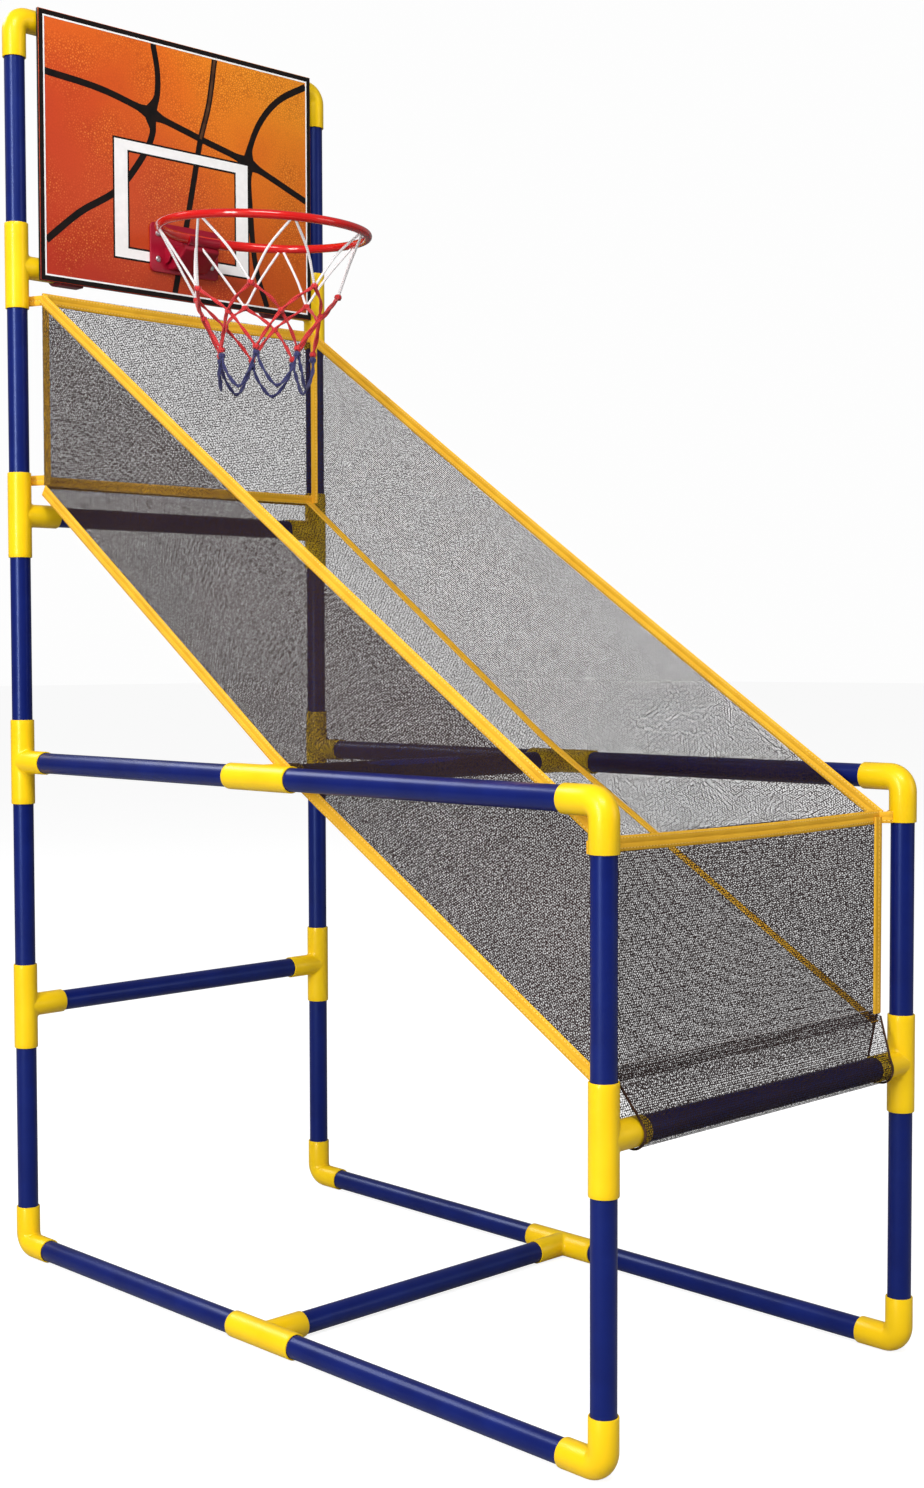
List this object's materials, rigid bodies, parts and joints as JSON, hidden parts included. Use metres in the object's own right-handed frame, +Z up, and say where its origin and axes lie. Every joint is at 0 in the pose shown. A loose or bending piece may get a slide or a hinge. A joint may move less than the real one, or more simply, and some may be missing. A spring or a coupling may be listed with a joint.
{
  "type": "basketball hoop machine",
  "caption": "Free-standing indoor basketball shooting frame of push-fit tubes with a backboard, hoop, string net and sloping mesh ball-return bag.",
  "frame": {"origin": "middle of the footprint, on the floor the frame stands on", "axes": "+Z up, +X to the player's right, the player stands on the -Y side and the backboard is on the +Y side"},
  "size_m": [0.4666, 0.9066, 1.42],
  "materials": {
    "tube_blue": "semi-gloss extruded plastic, dark blue",
    "connector_yellow": "semi-gloss moulded plastic, bright yellow",
    "backboard_print": "smooth printed sheet, orange ball close-up with a white target rectangle and a dark edge",
    "hoop_red": "glossy moulded plastic, red",
    "bracket_crimson": "moulded plastic, crimson",
    "net_string": "knotted polyester string, white at the top, then red, then blue",
    "bag_mesh": "fine see-through polyester mesh, dark grey, with yellow-orange edge tape"
  },
  "bodies": {
    "root": {"left_upright_tube_1": "tube_blue", "left_upright_tube_2": "tube_blue", "left_upright_tube_3": "tube_blue", "left_upright_tube_4": "tube_blue", "left_upright_tube_5": "tube_blue", "left_leg_tube_1": "tube_blue", "left_leg_tube_2": "tube_blue", "left_base_tube_front": "tube_blue", "left_base_tube_rear": "tube_blue", "left_rail_tube_front": "tube_blue", "left_rail_tube_rear": "tube_blue", "left_rear_foot_elbow": "connector_yellow", "left_rear_top_elbow": "connector_yellow", "left_front_foot_elbow": "connector_yellow", "left_front_top_elbow": "connector_yellow", "left_rear_tee_1": "connector_yellow", "left_rear_tee_2": "connector_yellow", "left_rear_tee_3": "connector_yellow", "left_rear_tee_4": "connector_yellow", "left_front_tee": "connector_yellow", "left_base_tee": "connector_yellow", "left_rail_tee": "connector_yellow", "right_upright_tube_1": "tube_blue", "right_upright_tube_2": "tube_blue", "right_upright_tube_3": "tube_blue", "right_upright_tube_4": "tube_blue", "right_upright_tube_5": "tube_blue", "right_leg_tube_1": "tube_blue", "right_leg_tube_2": "tube_blue", "right_base_tube_front": "tube_blue", "right_base_tube_rear": "tube_blue", "right_rail_tube_front": "tube_blue", "right_rail_tube_rear": "tube_blue", "right_rear_foot_elbow": "connector_yellow", "right_rear_top_elbow": "connector_yellow", "right_front_foot_elbow": "connector_yellow", "right_front_top_elbow": "connector_yellow", "right_rear_tee_1": "connector_yellow", "right_rear_tee_2": "connector_yellow", "right_rear_tee_3": "connector_yellow", "right_rear_tee_4": "connector_yellow", "right_front_tee": "connector_yellow", "right_base_tee": "connector_yellow", "right_rail_tee": "connector_yellow", "base_cross_tube": "tube_blue", "front_cross_tube": "tube_blue", "rail_cross_tube": "tube_blue", "rear_low_cross_tube": "tube_blue", "rear_mid_cross_tube": "tube_blue", "rear_upper_cross_tube": "tube_blue", "rear_top_cross_tube": "tube_blue", "backboard": "backboard_print", "ring_bracket": "bracket_crimson", "ring": "hoop_red", "hoop_net": "net_string", "bag_back": "bag_mesh", "bag_left": "bag_mesh", "bag_right": "bag_mesh", "bag_floor": "bag_mesh", "bag_front": "bag_mesh"}
  },
  "joints": []
}
